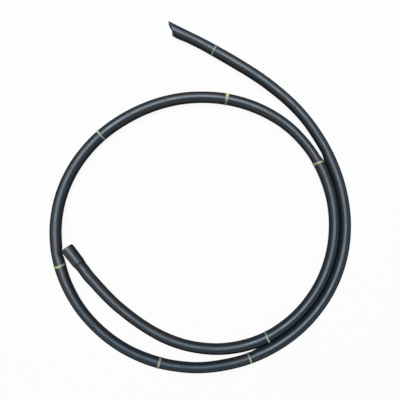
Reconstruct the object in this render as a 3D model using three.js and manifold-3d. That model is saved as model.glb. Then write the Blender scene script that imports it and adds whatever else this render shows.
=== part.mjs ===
// Soaker hose: one length of black porous hose lying as an open loop of about one and two
// thirds turns. One end is cut on a bevel, the other carries a push-on coupling cuff, and
// eight narrow marker bands are wrapped tight round the hose.
//
// Units are millimetres and +Z is up. The origin is the centre of the hose's footprint, on
// the surface that the bands and the cuff rest on.

import * as THREE from "three";
import { mergeVertices } from "three/addons/utils/BufferGeometryUtils.js";
import Module from "manifold-3d";

// Hose
const hoseDiameter = 16;
const hoseWall = 1.5;
const hoseSides = 12;
const plainFacet = 29; // length of one straight facet of the hose between two bands
const bandFacet = 16; // length of the straight facet that a band is wrapped round

// Bevel cut at the free end
const bevelAngle = 46; // degrees between the cut face and the hose's axis
const bevelLean = 6; // degrees that the cut face leans back to face the sky
const tipThickness = 1.4; // blunt edge left at the point of the bevel

// Marker bands, by their distance along the hose from the tip
const bandThickness = 0.4;
const bands = [
  { distance: 76, width: 3 },
  { distance: 664, width: 2.5 },
  { distance: 797, width: 3 },
  { distance: 1007, width: 4.5 },
  { distance: 1216, width: 3.5 },
  { distance: 1411, width: 3 },
  { distance: 1577.5, width: 3.5 },
  { distance: 1869.5, width: 2.5 },
];

// Coupling cuff
const cuffSides = 24;
const cuffWall = 1.2;
const cuffCover = 17; // length of hose that is pushed into the cuff
const cuffShoulder = 11; // length over which the cuff runs out to its lip
const cuffLip = 0.5; // wall left at the lip
const mouthRounding = 0.8;
const socketDepth = 15;
const socketLeadIn = 0.2;
const stopThickness = 1.5; // ledge between the hose and the socket
const stopStep = 0.5; // how far the ledge stands in past the bore of the hose
const shoulderSteps = 5;
const roundingSteps = 3;

const clearance = 0.3; // between two pieces that touch
const arcSamples = 2000; // samples that the length along the route is read from
const rightAngle = 90; // degrees

// Centreline of the hose in plan, from the bevel-cut tip to the end inside the cuff. The
// last three points are in one line, so that the hose runs straight into the cuff.
const routePlan = [
  [-49, 247], [3, 221], [53.5, 192.5], [102, 160], [145.5, 120],
  [178.5, 73], [201, 19], [210, -39], [202.5, -96], [179, -149],
  [140.5, -193], [91.5, -225], [36.5, -243], [-21.5, -246.5], [-78.5, -234],
  [-129.5, -206.5], [-170.5, -166.5], [-198.5, -115.5], [-210.25, -58], [-202, 0],
  [-176.5, 52], [-136, 94.5], [-85.5, 125], [-29.5, 141.5], [27.5, 142.5],
  [83.5, 127.5], [133, 96], [169, 51], [189.5, -4], [192, -62.5],
  [176.5, -118.5], [144, -166.5], [98.5, -201.5], [43, -219], [-14.5, -216],
  [-68, -195.5], [-118.5, -159.5], [-156.5, -119.5], [-169.25, -103], [-182, -86.5],
];
const cuffPoints = 3; // how many of the last points lie at the height of the cuff's axis

// A regular polygon's distance to its flats, as a share of its distance to its corners
const flatShare = (sides) => Math.cos(Math.PI / sides);

const hoseRadius = hoseDiameter / 2;
const boreRadius = hoseRadius - hoseWall;
const sleeveInner = (hoseRadius + clearance) / flatShare(cuffSides);
const cuffRadius = sleeveInner + cuffWall;
const bandInner = hoseRadius + clearance / flatShare(hoseSides);
const bandOuter = bandInner + bandThickness / flatShare(hoseSides);
const hoseHeight = bandOuter * flatShare(hoseSides);
const cuffHeight = cuffRadius * flatShare(cuffSides);

const up = new THREE.Vector3(0, 0, 1);

const route = new THREE.CatmullRomCurve3(
  routePlan.map(([x, y], i) => {
    const isInCuff = i >= routePlan.length - cuffPoints;
    return new THREE.Vector3(x, y, isInCuff ? cuffHeight : hoseHeight);
  }),
  false,
  "catmullrom",
);
route.arcLengthDivisions = arcSamples;
const hoseLength = route.getLength();
const pointAlong = (distance) => route.getPointAt(distance / hoseLength);

// Distances along the route at which the hose's facets meet. Each band has one facet to
// itself, and so has the stretch inside the cuff.
function facetJoints() {
  const marks = [0];
  for (const { distance } of bands) {
    marks.push(distance - bandFacet / 2, distance + bandFacet / 2);
  }
  marks.push(hoseLength - cuffCover, hoseLength);

  const joints = [0];
  for (let i = 1; i < marks.length; i++) {
    const span = marks[i] - marks[i - 1];
    const facets = Math.max(1, Math.round(span / plainFacet));
    for (let k = 1; k <= facets; k++) {
      joints.push(marks[i - 1] + (span * k) / facets);
    }
  }
  return joints;
}

// The route as the row of joints that an extrusion steps through
class FacetedRoute extends THREE.Curve {
  constructor(joints) {
    super();
    this.joints = joints;
  }

  shareAt(u) {
    const last = this.joints.length - 1;
    return Math.min(1, this.joints[Math.round(u * last)] / hoseLength);
  }

  getPointAt(u, target) {
    return route.getPointAt(this.shareAt(u), target);
  }

  getTangentAt(u, target) {
    return route.getTangentAt(this.shareAt(u), target);
  }
}

// A regular polygon with one flat side down
function polygon(radius, sides, PathClass) {
  const corners = [];
  for (let i = 0; i < sides; i++) {
    const angle = ((i + 0.5) * 2 * Math.PI) / sides;
    corners.push(new THREE.Vector2(radius * Math.cos(angle), radius * Math.sin(angle)));
  }
  return new PathClass(corners);
}

// A turned body on its own Y axis, with one flat side facing its own Z
function turned(profile, sides) {
  const outline = profile.map(([radius, along]) => new THREE.Vector2(radius, along));
  outline.push(outline[0].clone());
  return new THREE.LatheGeometry(outline, sides, Math.PI / sides);
}

// Lays a turned body's Y axis along the line between two points, with its Z axis upwards
function layAlong(mesh, from, to, origin) {
  const forward = to.clone().sub(from).normalize();
  const side = forward.clone().cross(up).normalize();
  const top = side.clone().cross(forward);
  mesh.quaternion.setFromRotationMatrix(new THREE.Matrix4().makeBasis(side, forward, top));
  mesh.position.copy(origin);
}

function finish(color, roughness) {
  return new THREE.MeshStandardMaterial({ color, roughness, metalness: 0 });
}
const hoseMaterial = finish(0x2b2d30, 0.55);
const cuffMaterial = finish(0x282a2d, 0.5);
const bandMaterial = finish(0xb9c67c, 0.45);

const wasm = await Module();
wasm.setup();

function toSolid(geometry) {
  const bare = geometry.clone();
  bare.deleteAttribute("normal");
  bare.deleteAttribute("uv");
  const merged = mergeVertices(bare);
  return new wasm.Manifold(
    new wasm.Mesh({
      numProp: 3,
      vertProperties: new Float32Array(merged.attributes.position.array),
      triVerts: new Uint32Array(merged.index.array),
    }),
  );
}

function toGeometry(solid) {
  const { vertProperties, triVerts } = solid.getMesh();
  const geometry = new THREE.BufferGeometry();
  geometry.setAttribute("position", new THREE.BufferAttribute(vertProperties, 3));
  geometry.setIndex(new THREE.BufferAttribute(triVerts, 1));
  geometry.computeVertexNormals();
  return geometry;
}

// The block that cuts the tip: one face is the bevel, and the block lies outside it
function bevelCutter() {
  const angle = THREE.MathUtils.degToRad(bevelAngle);
  const inset = (hoseRadius - tipThickness) / Math.tan(angle);
  const turn = THREE.MathUtils.degToRad(-rightAngle - bevelAngle);
  const outward = route.getTangentAt(0).applyAxisAngle(up, turn);
  const acrossCut = outward.clone().cross(up).normalize();
  outward.applyAxisAngle(acrossCut, THREE.MathUtils.degToRad(bevelLean));
  const alongCut = outward.clone().cross(acrossCut);

  const size = (2 * hoseDiameter) / Math.sin(angle); // twice the length of the cut face
  const block = new THREE.BoxGeometry(size, size, size);
  const frame = new THREE.Matrix4().makeBasis(acrossCut, alongCut, outward);
  frame.setPosition(pointAlong(inset).addScaledVector(outward, size / 2));
  block.applyMatrix4(frame);
  return block;
}

function hoseTube() {
  const section = polygon(hoseRadius, hoseSides, THREE.Shape);
  section.holes.push(polygon(boreRadius, hoseSides, THREE.Path));
  const joints = facetJoints();
  const tube = new THREE.ExtrudeGeometry(section, {
    steps: joints.length - 1,
    bevelEnabled: false,
    extrudePath: new FacetedRoute(joints),
  });
  return toGeometry(toSolid(tube).subtract(toSolid(bevelCutter())));
}

function markerBand({ distance, width }) {
  const from = pointAlong(distance - bandFacet / 2);
  const to = pointAlong(distance + bandFacet / 2);
  const half = width / 2;
  const ring = turned(
    [[bandInner, -half], [bandOuter, -half], [bandOuter, half], [bandInner, half]],
    hoseSides,
  );
  const mesh = new THREE.Mesh(ring, bandMaterial);
  layAlong(mesh, from, to, from.clone().lerp(to, 0.5));
  return mesh;
}

// The cuff's section, with the hose's end at 0 and the mouth at the far end
function cuffProfile() {
  const stopStart = clearance;
  const stopEnd = stopStart + stopThickness;
  const stopBore = boreRadius - stopStep;
  const mouth = stopEnd + socketDepth;
  const lipOuter = sleeveInner + cuffLip;

  const outer = [];
  for (let i = 0; i <= shoulderSteps; i++) {
    const share = i / shoulderSteps;
    const eased = THREE.MathUtils.smoothstep(share, 0, 1);
    outer.push([
      lipOuter + (cuffRadius - lipOuter) * eased,
      -cuffCover + cuffShoulder * share,
    ]);
  }
  for (let i = 0; i <= roundingSteps; i++) {
    const angle = (i / roundingSteps) * (Math.PI / 2);
    outer.push([
      cuffRadius - mouthRounding * (1 - Math.cos(angle)),
      mouth - mouthRounding * (1 - Math.sin(angle)),
    ]);
  }
  return [
    ...outer,
    [sleeveInner + socketLeadIn, mouth],
    [sleeveInner, mouth - socketLeadIn],
    [sleeveInner, stopEnd],
    [stopBore, stopEnd],
    [stopBore, stopStart],
    [sleeveInner, stopStart],
    [sleeveInner, -cuffCover],
  ];
}

const soakerHose = new THREE.Group();

const hose = new THREE.Mesh(hoseTube(), hoseMaterial);
hose.name = "hose_tube";
soakerHose.add(hose);

const cuff = new THREE.Mesh(turned(cuffProfile(), cuffSides), cuffMaterial);
cuff.name = "coupling_cuff";
const hoseEnd = pointAlong(hoseLength);
layAlong(cuff, pointAlong(hoseLength - cuffCover), hoseEnd, hoseEnd);
soakerHose.add(cuff);

bands.forEach((band, i) => {
  const mesh = markerBand(band);
  mesh.name = `marker_band_${i + 1}`;
  soakerHose.add(mesh);
});

export default soakerHose;
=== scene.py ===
import bisect
import math

import bmesh
import bpy
from mathutils import Matrix, Vector, noise
from mathutils.geometry import intersect_point_line


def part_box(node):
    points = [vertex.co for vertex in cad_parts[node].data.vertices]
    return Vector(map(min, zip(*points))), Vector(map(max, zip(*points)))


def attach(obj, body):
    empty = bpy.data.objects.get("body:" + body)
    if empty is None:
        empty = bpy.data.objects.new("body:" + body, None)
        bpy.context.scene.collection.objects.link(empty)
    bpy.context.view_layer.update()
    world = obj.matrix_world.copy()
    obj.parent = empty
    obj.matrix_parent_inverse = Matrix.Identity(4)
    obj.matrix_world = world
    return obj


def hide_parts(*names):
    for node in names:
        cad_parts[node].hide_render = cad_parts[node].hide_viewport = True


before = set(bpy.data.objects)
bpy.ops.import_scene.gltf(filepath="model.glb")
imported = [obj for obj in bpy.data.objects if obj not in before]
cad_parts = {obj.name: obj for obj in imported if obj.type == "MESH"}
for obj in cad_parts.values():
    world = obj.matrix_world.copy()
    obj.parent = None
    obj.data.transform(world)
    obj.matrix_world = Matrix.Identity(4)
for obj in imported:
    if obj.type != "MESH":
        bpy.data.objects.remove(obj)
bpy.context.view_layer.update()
print("frame loaded:", len(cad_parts), "nodes")

mm = 0.001
up = Vector((0, 0, 1))


# camera, straight above the middle of the picture
shot = {
    "centre": (-0.67 * mm, -4.52 * mm),
    "height": 650 * mm,
    "width": 578.7 * mm,  # what the picture takes in, at the height of the plane
    "plane": 8.4 * mm,  # height of the hose's axis
    "sensor": 36,
    "clip": (10 * mm, 20),  # nearest and farthest that it sees
}


def makeCamera(cfg):
    data = bpy.data.cameras.new("camera")
    data.sensor_width = cfg["sensor"]
    data.lens = cfg["sensor"] * (cfg["height"] - cfg["plane"]) / cfg["width"]
    data.clip_start, data.clip_end = cfg["clip"]
    camera = bpy.data.objects.new("camera", data)
    camera.location = (*cfg["centre"], cfg["height"])
    bpy.context.scene.collection.objects.link(camera)
    bpy.context.scene.camera = camera


makeCamera(shot)


# the hose's route in millimetres, with the solid's own points, from the bevel-cut tip to the cuff
routePlan = [
    (-49, 247), (3, 221), (53.5, 192.5), (102, 160), (145.5, 120),
    (178.5, 73), (201, 19), (210, -39), (202.5, -96), (179, -149),
    (140.5, -193), (91.5, -225), (36.5, -243), (-21.5, -246.5), (-78.5, -234),
    (-129.5, -206.5), (-170.5, -166.5), (-198.5, -115.5), (-210.25, -58), (-202, 0),
    (-176.5, 52), (-136, 94.5), (-85.5, 125), (-29.5, 141.5), (27.5, 142.5),
    (83.5, 127.5), (133, 96), (169, 51), (189.5, -4), (192, -62.5),
    (176.5, -118.5), (144, -166.5), (98.5, -201.5), (43, -219), (-14.5, -216),
    (-68, -195.5), (-118.5, -159.5), (-156.5, -119.5), (-169.25, -103), (-182, -86.5),
]
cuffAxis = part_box("coupling_cuff")[1].z / 2
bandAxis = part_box("marker_band_1")[1].z / 2  # height at which the bands carry the hose
cuffPoints = 3  # the last points of the route, which lie on the cuff's axis

# distance of each marker band from the tip
bandPlaces = [distance * mm for distance in (76, 664, 797, 1007, 1216, 1411, 1577.5, 1869.5)]


def smoothLine(points, perSpan=60):
    ends = [2 * points[0] - points[1], *points, 2 * points[-1] - points[-2]]
    line = []
    for a, b, c, d in zip(ends, ends[1:], ends[2:], ends[3:]):
        for k in range(perSpan):
            t = k / perSpan
            line.append(
                b + (c - a) * (t / 2) + (2 * a - 5 * b + 4 * c - d) * (t**2 / 2)
                + (3 * b - a - 3 * c + d) * (t**3 / 2)
            )
    return line + [points[-1]]


routeLine = smoothLine([
    Vector((x * mm, y * mm, cuffAxis if i >= len(routePlan) - cuffPoints else bandAxis))
    for i, (x, y) in enumerate(routePlan)
])
routeMarks = [0.0]  # distance from the tip at each point of the line
for here, there in zip(routeLine, routeLine[1:]):
    routeMarks.append(routeMarks[-1] + (there - here).length)
hoseLength = routeMarks[-1]
print("route:", round(hoseLength, 4), "m")


# how the real hose's two outlines stray from a round 16 mm tube, seen from above:
# distance from the tip, outwards past the outer side, inwards past the inner side, in millimetres
strays = [
    (0, -0.35, 0.6), (20, -0.4, 1.1), (40, -0.35, 0.1), (60, -0.2, 0), (85, -0.25, 0.45),
    (110, 0, 0.45), (140, 0, -0.05), (175, -0.1, -0.2), (205, -0.1, -0.7), (245, -0.35, -0.85),
    (275, -0.35, -0.35), (290, -0.2, -0.45), (299, -0.15, -0.8), (309, -0.12, 0.4), (314, -0.12, 0.6),
    (330, -0.15, 0.35), (345, -0.2, 0), (400, -0.4, 0), (470, -0.2, 0.1), (530, -0.6, 0.1),
    (580, -0.1, 0.1), (620, -0.15, 0.2), (638, -0.2, 0.35), (649, -0.25, 0.85), (660, -0.35, 0),
    (700, -0.3, 0.1), (735, -0.15, -0.45), (775, -0.45, -0.15), (805, -0.15, 0.1), (850, -0.1, -0.5),
    (910, -0.5, -0.3), (945, -0.25, -0.3), (980, 0, 0.4), (1006, 0.1, 1.05), (1015, 0.1, 1.1),
    (1026, 0, -0.75), (1035, 0, 1.1), (1048, 0, 1.3), (1066, 0.2, 1.05), (1080, 0.35, 0.75),
    (1100, 0.6, 0.5), (1170, 0.75, 0.35), (1215, 1.1, 0.05), (1260, 1, 0.3), (1310, 0.95, 0.05),
    (1350, 0.8, 0.05), (1380, 0.35, 0.05), (1405, 0.55, 0.1), (1450, 0.3, 0), (1475, 0.3, -0.4),
    (1500, 0.2, -0.9), (1540, -0.4, -0.9), (1563, -0.5, -1.1), (1571, -0.4, -0.9), (1578, 0.8, -0.65),
    (1606, 0.6, -0.65), (1640, 0.4, -0.9), (1700, 0.5, -0.8), (1750, 0.55, -0.6), (1820, 0.5, -0.5),
    (1850, 0.55, -0.1), (1874, 0.75, 0), (1886, 1.25, 0), (1895, 0.85, 0.1), (1906, 0.75, 0.15),
    (1922, 0.4, 0.25), (1950, 0.3, 0), (1990, 0.15, -0.3), (2025, 0.2, -0.3), (2055, -0.4, -0.25),
    (2090, -0.25, -0.2), (2120, 0.1, -0.2), (2145, 0.45, -0.4), (2173, 0.95, -0.4), (2182, 0.82, -0.75),
    (2198, 0.8, -0.8),
]
# the cuff leans on the strand beside it, so the hose's last stretch climbs a little
climb = {"start": 2100 * mm, "end": 2217 * mm, "height": 0.35 * mm, "power": 1.3}


def eased(share):
    return share * share * (3 - 2 * share)


def mixRows(here, there, share):
    return [a + (b - a) * eased(share) for a, b in zip(here, there)]


def pointAt(distance):
    i = bisect.bisect_right(routeMarks, distance) - 1
    i = min(max(i, 0), len(routeLine) - 2)
    share = (distance - routeMarks[i]) / (routeMarks[i + 1] - routeMarks[i])
    return routeLine[i].lerp(routeLine[i + 1], share)


def strayAt(distance):
    place = distance / mm
    i = min(max(bisect.bisect_right(strays, place, key=lambda row: row[0]), 1), len(strays) - 1)
    here, there = strays[i - 1], strays[i]
    share = min(max((place - here[0]) / (there[0] - here[0]), 0), 1)
    outer, inner = mixRows(here[1:], there[1:], share)
    return (inner - outer) / 2 * mm, (inner + outer) / 2 * mm  # sideways shift, extra half width


def liftedPoint(distance):
    share = (distance - climb["start"]) / (climb["end"] - climb["start"])
    return pointAt(distance) + up * climb["height"] * max(share, 0) ** climb["power"]


def stationAt(distance, reach=2 * mm):
    along = (liftedPoint(distance + reach) - liftedPoint(distance - reach)).normalized()
    inner = along.cross(up).normalized()  # towards the middle of the loop
    place = liftedPoint(distance) + inner * strayAt(distance)[0]
    return place, along, inner, inner.cross(along)


def pick(obj):
    bpy.ops.object.select_all(action="DESELECT")
    obj.select_set(True)
    bpy.context.view_layer.objects.active = obj


def meshObject(name, verts, faces):
    mesh = bpy.data.meshes.new(name)
    mesh.from_pydata(verts, [], faces)
    obj = bpy.data.objects.new(name, mesh)
    bpy.context.scene.collection.objects.link(obj)
    return obj


def applyModifier(obj, kind, **settings):
    pick(obj)
    modifier = obj.modifiers.new(kind.lower(), kind)
    for key, value in settings.items():
        setattr(modifier, key, value)
    bpy.ops.object.modifier_apply(modifier=modifier.name)


def selectEdges(obj, wanted):
    bpy.ops.mesh.select_mode(type="EDGE")
    bpy.ops.mesh.select_all(action="DESELECT")
    mesh = bmesh.from_edit_mesh(obj.data)
    for edge in mesh.edges:
        if wanted(edge):
            edge.select_set(True)
    bmesh.update_edit_mesh(obj.data)


def faceOutwards(obj):
    pick(obj)
    bpy.ops.object.mode_set(mode="EDIT")
    bpy.ops.mesh.select_all(action="SELECT")
    bpy.ops.mesh.normals_make_consistent(inside=False)
    bpy.ops.object.mode_set(mode="OBJECT")


def layOnRoute(obj, distance):
    place, along, inner, top = stationAt(distance)
    obj.matrix_world = Matrix.Translation(place) @ Matrix((inner, top, along)).transposed().to_4x4()
    pick(obj)
    bpy.ops.object.transform_apply(location=True, rotation=True, scale=True)


# hose, a skin of rings along the route that gets its wall and is then cut
hose = {
    "radius": 8 * mm,
    "wall": 1.5 * mm,
    "sides": 48,
    "step": 4 * mm,  # from ring to ring
    "fineStep": 1 * mm,  # from ring to ring near the cut
    "smooth": 40,  # degrees up to which an edge is shaded smooth
    "uneven": 0.05 * mm,  # how far the skin wanders from a true round
    "wave": 45 * mm,  # length of that wandering
    "sag": 0.4 * mm,  # how far the hose sinks to the floor between two bands
    "sagReach": 45 * mm,
    # the slanting cut seen from above, in millimetres: along the hose from the tip, and
    # across it from the outer to the inner side
    "cutLine": [
        (-2.3, -9), (-0.4, -6.6), (0.7, -5.5), (2.1, -4.4), (3.7, -3.2), (5.5, -2.2), (7.2, -1.2),
        (8.8, 0), (9.8, 1), (10.5, 2), (11, 3), (11.4, 4.1), (11.85, 5.3), (12.5, 6.5),
        (13.5, 7.5), (15.1, 8.4), (17, 9), (20, 9.3), (27, 9.7),
    ],
    "cutAngle": 46,  # degrees between the cut and the hose, seen from above
    "cutLean": 2,  # degrees that the cut leans back to face the sky
    "cutDepth": 20 * mm,
    "cutReach": 30 * mm,  # length of hose that the blade can touch
    "rimAngle": 35,  # degrees from which an edge of the cut is rounded
    "rim": 0.3 * mm,
    "rimRows": 3,
    "frayAndGlint": 1.1 * mm,  # how far the cut has paled the rubber, a band that also paints the highlight on the cut's edge
}


def sagAt(distance, cfg):
    supports = [*bandPlaces, hoseLength]
    away = min(abs(distance - place) for place in supports)
    return cfg["sag"] * eased(min(1, away / cfg["sagReach"]))


def hoseStations(cfg):
    fineCount = round(cfg["cutReach"] / cfg["fineStep"])
    distances = [i * cfg["fineStep"] for i in range(fineCount)]
    rest = hoseLength - cfg["cutReach"]
    count = math.ceil(rest / cfg["step"])
    distances += [cfg["cutReach"] + rest * i / count for i in range(count + 1)]
    stations = []
    for distance in distances:
        place, along, inner, top = stationAt(distance)
        stations.append((distance, place - up * sagAt(distance, cfg), along, inner, top))
    return stations


def hoseSkin(cfg, stations):
    verts, faces = [], []
    sides = cfg["sides"]
    for distance, place, _, inner, top in stations:
        wide = strayAt(distance)[1]
        for j in range(sides):
            angle = 2 * math.pi * j / sides
            seed = Vector((math.cos(angle), math.sin(angle), distance / cfg["wave"]))
            radius = cfg["radius"] + cfg["uneven"] * noise.noise(seed)
            out = top * radius * math.cos(angle) + inner * (radius + wide) * math.sin(angle)
            verts.append(place + out)
    for i in range(len(stations) - 1):
        for j in range(sides):
            k = (j + 1) % sides
            a, b = i * sides, (i + 1) * sides
            faces.append((a + j, a + k, b + k, b + j))
    obj = meshObject("soaker_hose", verts, faces)
    uv = obj.data.uv_layers.new(name="skin").data  # metres round the hose, metres along it
    girth = 2 * math.pi * cfg["radius"]
    for face in obj.data.polygons:
        i, j = divmod(face.index, sides)
        for loop, (di, dj) in zip(face.loop_indices, ((0, 0), (0, 1), (1, 1), (1, 0))):
            uv[loop].uv = (girth * (j + dj) / sides, stations[i + di][0])
    return obj


def cutFrame(cfg):
    place, along, inner, _ = stationAt(0)
    turn = math.radians(cfg["cutAngle"])
    outward = inner * math.cos(turn) - along * math.sin(turn)
    lean = outward * math.tan(math.radians(cfg["cutLean"]))  # over a metre of height
    return place, along, inner, lean


def makeBlade(cfg):
    place, along, inner, lean = cutFrame(cfg)
    reach, depth = cfg["cutReach"], cfg["cutDepth"]
    outline = [(u * mm, v * mm) for u, v in cfg["cutLine"]]
    outline += [(outline[-1][0], reach), (-reach, reach), (-reach, outline[0][1])]
    verts = [
        place + along * u + inner * v + (up - lean) * height
        for height in (-depth, depth) for u, v in outline
    ]
    count = len(outline)
    faces = [tuple(reversed(range(count))), tuple(range(count, 2 * count))]
    faces += [(i, (i + 1) % count, count + (i + 1) % count, count + i) for i in range(count)]
    obj = meshObject("blade", verts, faces)
    faceOutwards(obj)
    return obj


def cutTip(obj, cfg):
    blade = makeBlade(cfg)
    applyModifier(obj, "BOOLEAN", operation="DIFFERENCE", solver="EXACT", object=blade)
    bpy.data.objects.remove(blade)
    pick(obj)
    bpy.ops.object.mode_set(mode="EDIT")
    tip = stationAt(0)[0]

    def isRim(edge):
        if (edge.verts[0].co - tip).length > cfg["cutReach"]:
            return False
        return len(edge.link_faces) == 2 and edge.calc_face_angle() > math.radians(cfg["rimAngle"])

    selectEdges(obj, isRim)
    bpy.ops.mesh.bevel(offset=cfg["rim"], segments=cfg["rimRows"], affect="EDGES")
    bpy.ops.object.mode_set(mode="OBJECT")


def distanceToLine(spot, line):
    distances = []
    for a, b in zip(line, line[1:]):
        foot, share = intersect_point_line(spot, a, b)
        distances.append((spot - (foot if 0 <= share <= 1 else a)).length)
    return min(distances)


def markFrayAndGlint(obj, cfg):
    place, along, inner, lean = cutFrame(cfg)
    line = [Vector((u * mm, v * mm)) for u, v in cfg["cutLine"]]
    frayAndGlint = obj.data.attributes.new("frayAndGlint", "FLOAT", "POINT")
    for vert in obj.data.vertices:
        offset = vert.co - place
        if offset.length > cfg["cutReach"]:
            continue
        offset += lean * offset.z
        spot = Vector((offset.dot(along), offset.dot(inner)))
        frayAndGlint.data[vert.index].value = max(0, 1 - distanceToLine(spot, line) / cfg["frayAndGlint"])


def makeHose(cfg):
    stations = hoseStations(cfg)
    obj = hoseSkin(cfg, stations)
    applyModifier(obj, "SOLIDIFY", thickness=cfg["wall"], offset=-1)
    faceOutwards(obj)
    cutTip(obj, cfg)
    markFrayAndGlint(obj, cfg)
    pick(obj)
    bpy.ops.object.shade_smooth_by_angle(angle=math.radians(cfg["smooth"]))
    return obj, [place for _, place, *_ in stations]


hosePiece, hoseCentres = makeHose(hose)
print("hose made:", len(hosePiece.data.polygons), "faces")


# coupling cuff, a ring that is extruded over its outside and back through its inside;
# places along it count from the hose's end
cuff = {
    "sides": 96,
    "smooth": 40,  # degrees up to which an edge is shaded smooth
    "weld": 0.01 * mm,
    "sleeve": 8.05 * mm,  # inside, round the hose
    "socket": 8.35 * mm,  # inside, for the next hose
    "socketEdge": 0.2 * mm,
    "ledge": 6 * mm,
    "ledgeStart": 0.3 * mm,
    "ledgeEnd": 1.8 * mm,
    "cover": 17 * mm,  # from the lip to the hose's end
    "lipEdge": (0.18 * mm, 0.2 * mm),  # slope inside the lip, across and along
    "mouth": 17.1 * mm,
    "mouthTilt": -2.5,  # degrees that the mouth is cut out of square, longer on its outer side
    "tiltReach": 4 * mm,  # how much of the cuff, from the mouth, tilts with it
    # the outside in millimetres, from the lip over the shoulder: radius, place along the cuff
    "outside": [
        (8.42, -16.8), (8.45, -14.6), (8.5, -13.8), (8.62, -13), (8.84, -12.2), (9.02, -11.5),
        (9.12, -10.8), (9.17, -9.8), (9.24, -6), (9.34, 0), (9.46, 6), (9.52, 11),
    ],
    "mouthRadius": 9.54 * mm,
    "mouthRound": (1.05 * mm, 3 * mm),  # how far it rounds in and how far from the mouth it starts
    "mouthRows": 8,
}


def cuffProfile(cfg):
    slopeAcross, slopeAlong = cfg["lipEdge"]
    profile = [
        (cfg["sleeve"], -cfg["cover"] + slopeAlong),
        (cfg["sleeve"] + slopeAcross, -cfg["cover"]),
    ]
    profile += [(radius * mm, along * mm) for radius, along in cfg["outside"]]
    inwards, back = cfg["mouthRound"]
    for k in range(cfg["mouthRows"] + 1):
        turn = math.pi / 2 * k / cfg["mouthRows"]
        profile.append((
            cfg["mouthRadius"] - inwards * (1 - math.cos(turn)),
            cfg["mouth"] - back * (1 - math.sin(turn)),
        ))
    profile += [
        (cfg["socket"], cfg["mouth"] - cfg["socketEdge"]),
        (cfg["socket"], cfg["ledgeEnd"]),
        (cfg["ledge"], cfg["ledgeEnd"]),
        (cfg["ledge"], cfg["ledgeStart"]),
        (cfg["sleeve"], cfg["ledgeStart"]),
    ]
    return profile


def makeCuff(cfg):
    profile = cuffProfile(cfg)
    bpy.ops.object.select_all(action="DESELECT")
    radius, along = profile[0]
    bpy.ops.mesh.primitive_circle_add(vertices=cfg["sides"], radius=radius, location=(0, 0, 0))
    obj = bpy.context.object
    obj.name = "push_on_cuff"
    bpy.ops.object.mode_set(mode="EDIT")
    bpy.ops.mesh.select_all(action="SELECT")
    bpy.ops.transform.translate(value=(0, 0, along))
    for newRadius, newAlong in [*profile[1:], profile[0]]:
        bpy.ops.mesh.extrude_region_move(TRANSFORM_OT_translate={"value": (0, 0, newAlong - along)})
        grow = newRadius / radius
        bpy.ops.transform.resize(value=(grow, grow, 1), center_override=(0, 0, newAlong))
        radius, along = newRadius, newAlong
    bpy.ops.mesh.select_all(action="SELECT")
    bpy.ops.mesh.remove_doubles(threshold=cfg["weld"])
    tiltStart = cfg["mouth"] - cfg["tiltReach"]
    selectEdges(obj, lambda edge: all(vert.co.z > tiltStart for vert in edge.verts))
    bpy.ops.transform.rotate(
        value=math.radians(cfg["mouthTilt"]), orient_axis="Y",
        center_override=(cfg["mouthRadius"], 0, cfg["mouth"]),
    )
    bpy.ops.mesh.select_all(action="SELECT")
    bpy.ops.mesh.normals_make_consistent(inside=False)
    bpy.ops.object.mode_set(mode="OBJECT")
    layOnRoute(obj, hoseLength)
    bpy.ops.object.shade_smooth_by_angle(angle=math.radians(cfg["smooth"]))
    return obj


cuffPiece = makeCuff(cuff)
print("cuff made")


# marker bands, of thin tape
band = {
    "inside": 8.02 * mm,
    "thick": 0.34 * mm,
    "sides": 96,
    "rows": 5,
    "edge": 0.1 * mm,
    "edgeRows": 2,
    "smooth": 50,  # degrees up to which an edge is shaded smooth
    # for each band, at five places from its outer to its inner side: how far it strays
    # along the hose and how wide it is, in millimetres, how yellow it is and how dark, from dirt and
    # from painted shade on its sides
    "shapes": [
        [(2, 2.4, 0.2, 0.84), (1.4, 2.5, 0, 0.76), (1.4, 2.4, 0, 0.6), (1.5, 2.3, 0.6, 0.68),
         (2.1, 2.4, 0.5, 0.75)],
        [(-0.7, 3.2, 0.6, 0.62), (-0.5, 2.6, 0.4, 0.45), (-0.3, 2.5, 0.1, 0.36), (0, 2.3, 0.1, 0.74),
         (0.2, 2.4, 0.3, 0.9)],
        [(0, 2.8, 0.3, 1), (0, 3.2, 0.4, 1), (0, 3.4, 0.3, 0.44), (0, 3.2, 0.2, 0.66),
         (0, 2.6, 0.2, 1)],
        [(0.8, 4.2, 1, 0.15), (0.3, 2.8, 0.9, 0.45), (-0.4, 3.7, 0.1, 0.18), (0.7, 3.4, 0.15, 0.62),
         (1.3, 3.2, 0.5, 1)],
        [(0.3, 2.8, 0.6, 0.9), (0.3, 2.6, 0.1, 0.06), (0.2, 2.6, 0.1, 0.52), (0.3, 2.4, 0.3, 0.72),
         (0.5, 2.2, 0.5, 0.88)],
        [(0, 3.9, 1, 0.4), (0, 4.6, 0.5, 0), (0, 3.4, 0.1, 0.36), (0, 2.9, 0.3, 0.88),
         (0, 2.7, 0.5, 0.72)],
        [(1.2, 2.8, 0.7, 0.58), (0.7, 3, 0.6, 0.9), (0, 2.4, 0, 0.1), (-0.6, 3.4, 0.5, 0.53),
         (-1, 4, 0.6, 0.84)],
        [(0.1, 4.6, 0.3, 0.5), (0.7, 3, 0.2, 0.6), (0.9, 1.9, 0, 0.12), (0.3, 2, 0.2, 0.76),
         (-0.2, 2.4, 0.4, 0.86)],
    ],
}


def bandValues(shape, angle):
    low = tuple((a + b) / 2 for a, b in zip(shape[0], shape[-1]))
    ring = [*shape, low, low, low]  # eight places round the hose, of which the underside is plain
    place = (angle + math.pi / 2) % (2 * math.pi) / (2 * math.pi / len(ring))
    i = int(place)
    return mixRows(ring[i % len(ring)], ring[(i + 1) % len(ring)], place - i)


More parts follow.
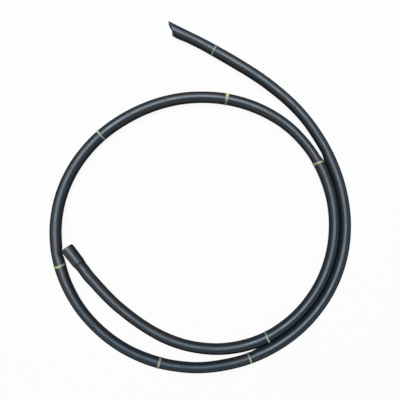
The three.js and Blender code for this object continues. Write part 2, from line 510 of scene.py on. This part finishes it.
def makeBand(number, shape, distance, cfg):
    bpy.ops.object.select_all(action="DESELECT")
    bpy.ops.mesh.primitive_cylinder_add(  # from -1 to 1, until its rows get their width below
        vertices=cfg["sides"], radius=cfg["inside"], depth=2, end_fill_type="NOTHING",
        location=(0, 0, 0),
    )
    obj = bpy.context.object
    obj.name = f"band_{number}"
    bpy.ops.object.mode_set(mode="EDIT")
    selectEdges(obj, lambda edge: not edge.is_boundary)
    bpy.ops.mesh.subdivide_edgering(number_cuts=cfg["rows"] - 2, interpolation="LINEAR")
    bpy.ops.object.mode_set(mode="OBJECT")
    yellow = obj.data.attributes.new("yellow", "FLOAT", "POINT")
    dirtAndShade = obj.data.attributes.new("dirtAndShade", "FLOAT", "POINT")
    hoseWide = strayAt(distance)[1]
    for i, vert in enumerate(obj.data.vertices):
        angle = math.atan2(vert.co.x, vert.co.y)
        stray, wide, gold, grimeAndShade = bandValues(shape, angle)
        vert.co.x += hoseWide * math.sin(angle)
        vert.co.z = (stray + vert.co.z * wide / 2) * mm
        yellow.data[i].value = gold
        dirtAndShade.data[i].value = grimeAndShade
    applyModifier(obj, "SOLIDIFY", thickness=cfg["thick"], offset=1)
    applyModifier(obj, "BEVEL", width=cfg["edge"], segments=cfg["edgeRows"], limit_method="ANGLE")
    layOnRoute(obj, distance)
    bpy.ops.object.shade_smooth_by_angle(angle=math.radians(cfg["smooth"]))
    return obj


bandPieces = [
    makeBand(i + 1, shape, distance, band)
    for i, (shape, distance) in enumerate(zip(band["shapes"], bandPlaces))
]
print("bands made:", len(bandPieces))


noiseSpread = (0.3, 0.7)  # most of a noise's values lie between these


def addNode(tree, kind, inputs=None, **settings):
    node = tree.nodes.new(kind)
    for key, value in settings.items():
        setattr(node, key, value)
    for key, value in (inputs or {}).items():
        if isinstance(value, bpy.types.NodeSocket):
            tree.links.new(value, node.inputs[key])
        else:
            node.inputs[key].default_value = value
    return node


def blendColours(tree, share, first, second):
    node = addNode(tree, "ShaderNodeMix", data_type="RGBA")
    for socket, value in ((node.inputs[0], share), (node.inputs[6], first), (node.inputs[7], second)):
        if isinstance(value, bpy.types.NodeSocket):
            tree.links.new(value, socket)
        else:
            socket.default_value = value
    return node.outputs[2]


def ramp(tree, value, low, high, toLow=0.0, toHigh=1.0):
    return addNode(tree, "ShaderNodeMapRange", {
        "Value": value, "From Min": low, "From Max": high, "To Min": toLow, "To Max": toHigh,
    }, interpolation_type="SMOOTHSTEP").outputs["Result"]


def noiseOn(tree, place, scale, detail=2.0, roughness=0.5):
    return addNode(tree, "ShaderNodeTexNoise", {
        "Vector": place, "Scale": scale, "Detail": detail, "Roughness": roughness,
    }).outputs["Fac"]


def calculate(tree, operation, *values, clamp=False):
    inputs = dict(enumerate(values))
    return addNode(tree, "ShaderNodeMath", inputs, operation=operation, use_clamp=clamp).outputs[0]


def acrossLoop(tree, place, way, reach):
    along = addNode(tree, "ShaderNodeVectorMath", {0: place, 1: way}, operation="DOT_PRODUCT")
    return ramp(tree, along.outputs["Value"], *reach)


def addBump(tree, shader, height, strength, depth):
    bump = addNode(tree, "ShaderNodeBump", {"Height": height, "Strength": strength, "Distance": depth})
    tree.links.new(bump.outputs["Normal"], shader.inputs["Normal"])


def newMaterial(name):
    material = bpy.data.materials.new(name)
    material.use_nodes = True
    return material, material.node_tree, material.node_tree.nodes["Principled BSDF"]


rubber = {
    "violet": (0.031, 0.026, 0.029, 1),
    "teal": (0.017, 0.028, 0.036, 1),
    "crumb": (0.042, 0.045, 0.05, 1),
    "frayedAndGlint": (0.1, 0.092, 0.125, 1),
    "drift": 14,  # patches of tint, about 70 mm
    "tintReach": (0.35, 0.65),
    "grain": 900,  # fine rubbed grain, about 1 mm
    "crumbGrain": 630,  # paler specks
    "crumbReach": (0.62, 0.75),
    "streaks": (1600, 9, 1),  # fine lines drawn along the hose
    "bump": 0.06,
    "bumpDepth": 0.12 * mm,
    "roughness": 0.49,
    "patches": 55,
    "patchRange": (-0.04, 0.06),  # how far the patches change the roughness
    "scuffed": 1.0,  # roughness of the lower sides, which rub on the ground
    "scuffReach": (0.33, 0.83),  # from 0 at the widest part of the skin to 1 at its crown
    "dull": 0.12,  # how much rougher the skin is on the loop's lower run
    "dullWay": (0.3, 1, 0),  # direction across the loop in which that run is found
    "dullReach": (-0.17, -0.24),  # how far that way it starts and is full, in metres
    "ior": 1.7,
    "gloss": (0.03, 1.0),  # of the dusty sides and of the crown
    "glossReach": (0.76, 0.91),
    "crownLean": 8,  # degrees that the rubbed crown lies towards the middle of the loop
    "drawn": 0.78,  # the skin blurs what it mirrors along the hose, not round it
    "drawnTurn": 0.25,  # a quarter turn, from round the hose to along it
    "sheen": (0.76, 0.9, 1, 1),
    "lowSheen": (0.58, 0.82, 1, 1),  # on the loop's lower run
    "black": (0.004, 0.006, 0.01, 1),  # painted shade: near-black colour laid on the outer flank of the loop's lower run, where that flank looks darker
    "blackShare": 0.72,
    "blackFlank": (-0.37, -0.64),  # from 0 at the crown to -1 at the hose's outer side
    "blackWay": (-0.35, 1, 0),
    "blackReach": (-0.02, -0.25),
}


def rubberMaterial(name, cfg, isHose):
    material, tree, shader = newMaterial(name)
    place = addNode(tree, "ShaderNodeTexCoord").outputs["Object"]
    tint = ramp(tree, noiseOn(tree, place, cfg["drift"], detail=1), *cfg["tintReach"])
    colour = blendColours(tree, tint, cfg["violet"], cfg["teal"])
    height = noiseOn(tree, place, cfg["grain"], detail=3, roughness=0.6)
    crumbs = noiseOn(tree, place, cfg["crumbGrain"], roughness=0.7)
    colour = blendColours(tree, ramp(tree, crumbs, *cfg["crumbReach"]), colour, cfg["crumb"])
    if isHose:
        # paler colour along the cut: rubber paled by the cut, and a painted highlight on the cut's edge
        frayAndGlint = addNode(tree, "ShaderNodeAttribute", attribute_name="frayAndGlint").outputs["Fac"]
        colour = blendColours(tree, frayAndGlint, colour, cfg["frayedAndGlint"])
        skin = addNode(tree, "ShaderNodeUVMap", uv_map="skin").outputs["UV"]
        drawn = addNode(tree, "ShaderNodeMapping", {"Vector": skin, "Scale": cfg["streaks"]})
        height = calculate(tree, "ADD", height, noiseOn(tree, drawn.outputs["Vector"], scale=1))
        girth = addNode(tree, "ShaderNodeSeparateXYZ", {"Vector": skin}).outputs["X"]
        lean = math.radians(cfg["crownLean"])
        turn = calculate(tree, "MULTIPLY_ADD", girth, 1 / hose["radius"], -lean)
        crown = calculate(tree, "COSINE", turn)
        # painted shade: the outer flank of the loop's lower run is darkened towards near-black
        shadedFlank = ramp(tree, calculate(tree, "SINE", turn), *cfg["blackFlank"], 0, cfg["blackShare"])
        shadedRun = acrossLoop(tree, place, cfg["blackWay"], cfg["blackReach"])
        colour = blendColours(tree, calculate(tree, "MULTIPLY", shadedFlank, shadedRun), colour, cfg["black"])
    else:
        level = addNode(tree, "ShaderNodeSeparateXYZ", {"Vector": place}).outputs["Z"]
        crown = addNode(tree, "ShaderNodeMapRange", {
            "Value": level, "From Min": cuffAxis, "From Max": 2 * cuffAxis,
        }).outputs["Result"]
    tree.links.new(colour, shader.inputs["Base Color"])
    addBump(tree, shader, height, cfg["bump"], cfg["bumpDepth"])

    low = acrossLoop(tree, place, cfg["dullWay"], cfg["dullReach"])
    worn = ramp(tree, crown, *cfg["scuffReach"], cfg["scuffed"], cfg["roughness"])
    dulled = calculate(tree, "MULTIPLY_ADD", low, cfg["dull"], worn)
    patches = noiseOn(tree, place, cfg["patches"], detail=3)
    patchy = ramp(tree, patches, *noiseSpread, *cfg["patchRange"])
    tree.links.new(calculate(tree, "ADD", dulled, patchy), shader.inputs["Roughness"])

    gloss = ramp(tree, crown, *cfg["glossReach"], *cfg["gloss"])
    tree.links.new(gloss, shader.inputs["Specular IOR Level"])
    shader.inputs["IOR"].default_value = cfg["ior"]
    sheen = blendColours(tree, low, cfg["sheen"], cfg["lowSheen"])
    tree.links.new(sheen, shader.inputs["Specular Tint"])
    if isHose:
        tangent = addNode(tree, "ShaderNodeTangent", direction_type="UV_MAP", uv_map="skin")
        tree.links.new(tangent.outputs["Tangent"], shader.inputs["Tangent"])
        shader.inputs["Anisotropic"].default_value = cfg["drawn"]
        shader.inputs["Anisotropic Rotation"].default_value = cfg["drawnTurn"]
    return material


cuffRubber = {
    **rubber,
    "violet": (0.016, 0.02, 0.022, 1),
    "teal": (0.011, 0.021, 0.024, 1),
    "crumb": (0.03, 0.036, 0.04, 1),
    "roughness": 0.42,
    "gloss": (0.03, 0.8),
    "glossReach": (0.5, 0.95),
    "scuffReach": (0.3, 0.85),
}


tape = {
    "pale": (0.66, 0.76, 0.63, 1),
    "yellow": (0.72, 0.75, 0.06, 1),
    # colour of dirt on the tape, also used as painted shade on the bands' sides
    "dirtAndShade": (0.07, 0.09, 0.05, 1),
    "smudge": 0.18,  # most that fine smudges add to the dirt and painted shade
    "smudgeGrain": 700,
    "smudgeReach": (0.45, 0.75),
    "roughGrain": 400,
    "roughness": (0.3, 0.48),
    "bumpGrain": 500,
    "bump": 0.2,
    "bumpDepth": 0.1 * mm,
}


def tapeMaterial(name, cfg):
    material, tree, shader = newMaterial(name)
    place = addNode(tree, "ShaderNodeTexCoord").outputs["Object"]
    yellow = addNode(tree, "ShaderNodeAttribute", attribute_name="yellow").outputs["Fac"]
    # this attribute darkens the tape, partly with dirt and partly with painted shade on the bands'
    # sides
    dirtAndShade = addNode(tree, "ShaderNodeAttribute", attribute_name="dirtAndShade").outputs["Fac"]
    colour = blendColours(tree, yellow, cfg["pale"], cfg["yellow"])
    smudges = noiseOn(tree, place, cfg["smudgeGrain"], detail=3)
    smudge = ramp(tree, smudges, *cfg["smudgeReach"], 0, cfg["smudge"])
    grimeAndShade = calculate(tree, "ADD", dirtAndShade, smudge, clamp=True)
    colour = blendColours(tree, grimeAndShade, colour, cfg["dirtAndShade"])
    tree.links.new(colour, shader.inputs["Base Color"])
    rough = ramp(tree, noiseOn(tree, place, cfg["roughGrain"]), *noiseSpread, *cfg["roughness"])
    tree.links.new(rough, shader.inputs["Roughness"])
    addBump(tree, shader, noiseOn(tree, place, cfg["bumpGrain"]), cfg["bump"], cfg["bumpDepth"])
    return material


def dress(obj, material, node):
    obj.data.materials.clear()
    obj.data.materials.append(material)
    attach(obj, "root")
    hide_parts(node)


dress(hosePiece, rubberMaterial("hose rubber", rubber, True), "hose_tube")
dress(cuffPiece, rubberMaterial("cuff rubber", cuffRubber, False), "coupling_cuff")
bandTape = tapeMaterial("band tape", tape)
for i, piece in enumerate(bandPieces):
    dress(piece, bandTape, f"marker_band_{i + 1}")

print("materials on")


# floor, backdrop and light
studio = {
    "floorRadius": 7,
    "floorSides": 64,
    "floorLevel": -0.05 * mm,
    "wallHeight": 2.3,
    "paper": (0.9, 0.9, 0.9, 1),
    "paperRoughness": 0.9,
    "plain": 0.92,  # share of the paper that is plain white to the camera
    "nookShade": (0.1, 0.13),  # how open the paper is where its plain white begins and is full; in narrower gaps the white drops away, a painted shade between strands
    "nookReach": 9 * mm,
    "nookSamples": 32,
    "sky": 0.08,  # its brightness
    "skyColour": (0.9, 0.95, 1, 1),
    "lampSize": (3, 2.3),
    "lampAway": 3.2,
    "lampPower": 100,
    "lampColour": (0.94, 0.97, 1),
    "lampTurn": (20, 8),  # degrees that the lamp leans to the picture's top and left
}


def paperMaterial(cfg):
    material, tree, shader = newMaterial("white paper")
    shader.inputs["Base Color"].default_value = cfg["paper"]
    shader.inputs["Roughness"].default_value = cfg["paperRoughness"]
    shader.inputs["Specular IOR Level"].default_value = 0
    ray = addNode(tree, "ShaderNodeLightPath").outputs
    seen = calculate(tree, "ADD", ray["Is Camera Ray"], ray["Is Glossy Ray"], clamp=True)
    seen = calculate(tree, "ADD", seen, ray["Is Transmission Ray"], clamp=True)
    # painted shade: ambient occlusion takes the plain white away in narrow gaps, so the paper there
    # goes dark
    nookShade = addNode(tree, "ShaderNodeAmbientOcclusion", {"Distance": cfg["nookReach"]},
                   samples=cfg["nookSamples"])
    plain = ramp(tree, nookShade.outputs["AO"], *cfg["nookShade"], 0, cfg["plain"])
    share = calculate(tree, "MULTIPLY", seen, plain)
    white = addNode(tree, "ShaderNodeEmission", {"Strength": 1.0}).outputs[0]
    mix = addNode(tree, "ShaderNodeMixShader", {0: share, 1: shader.outputs[0], 2: white})
    tree.links.new(mix.outputs[0], tree.nodes["Material Output"].inputs["Surface"])
    return material


def makeSet(cfg):
    paper = paperMaterial(cfg)
    radius, sides, level = cfg["floorRadius"], cfg["floorSides"], cfg["floorLevel"]
    bpy.ops.object.select_all(action="DESELECT")
    bpy.ops.mesh.primitive_circle_add(
        vertices=sides, radius=radius, fill_type="NGON", location=(0, 0, level)
    )
    floor = bpy.context.object
    floor.name = "floor"
    bpy.ops.object.select_all(action="DESELECT")
    bpy.ops.mesh.primitive_cylinder_add(
        vertices=sides, radius=radius, depth=cfg["wallHeight"], end_fill_type="NOTHING",
        location=(0, 0, level + cfg["wallHeight"] / 2),
    )
    wall = bpy.context.object
    wall.name = "backdrop"
    for piece in (floor, wall):
        piece.data.materials.append(paper)


def makeSky(cfg):
    world = bpy.data.worlds.new("studio")
    bpy.context.scene.world = world
    world.use_nodes = True
    sky = world.node_tree.nodes["Background"]
    sky.inputs["Color"].default_value = cfg["skyColour"]
    sky.inputs["Strength"].default_value = cfg["sky"]


def makeLamp(cfg):
    data = bpy.data.lights.new("softbox", "AREA")
    data.shape = "ELLIPSE"
    data.size, data.size_y = cfg["lampSize"]
    data.energy = cfg["lampPower"]
    data.color = cfg["lampColour"]
    lamp = bpy.data.objects.new("softbox", data)
    top, left = (math.radians(degrees) for degrees in cfg["lampTurn"])
    towards = Vector((-math.tan(left), math.tan(top), 1)).normalized()
    lamp.location = towards * cfg["lampAway"]
    lamp.rotation_euler = towards.to_track_quat("Z", "Y").to_euler()
    lamp.visible_camera = False
    bpy.context.scene.collection.objects.link(lamp)


makeSet(studio)
makeSky(studio)
makeLamp(studio)
bpy.context.scene.view_settings.view_transform = "Standard"
print("studio ready")
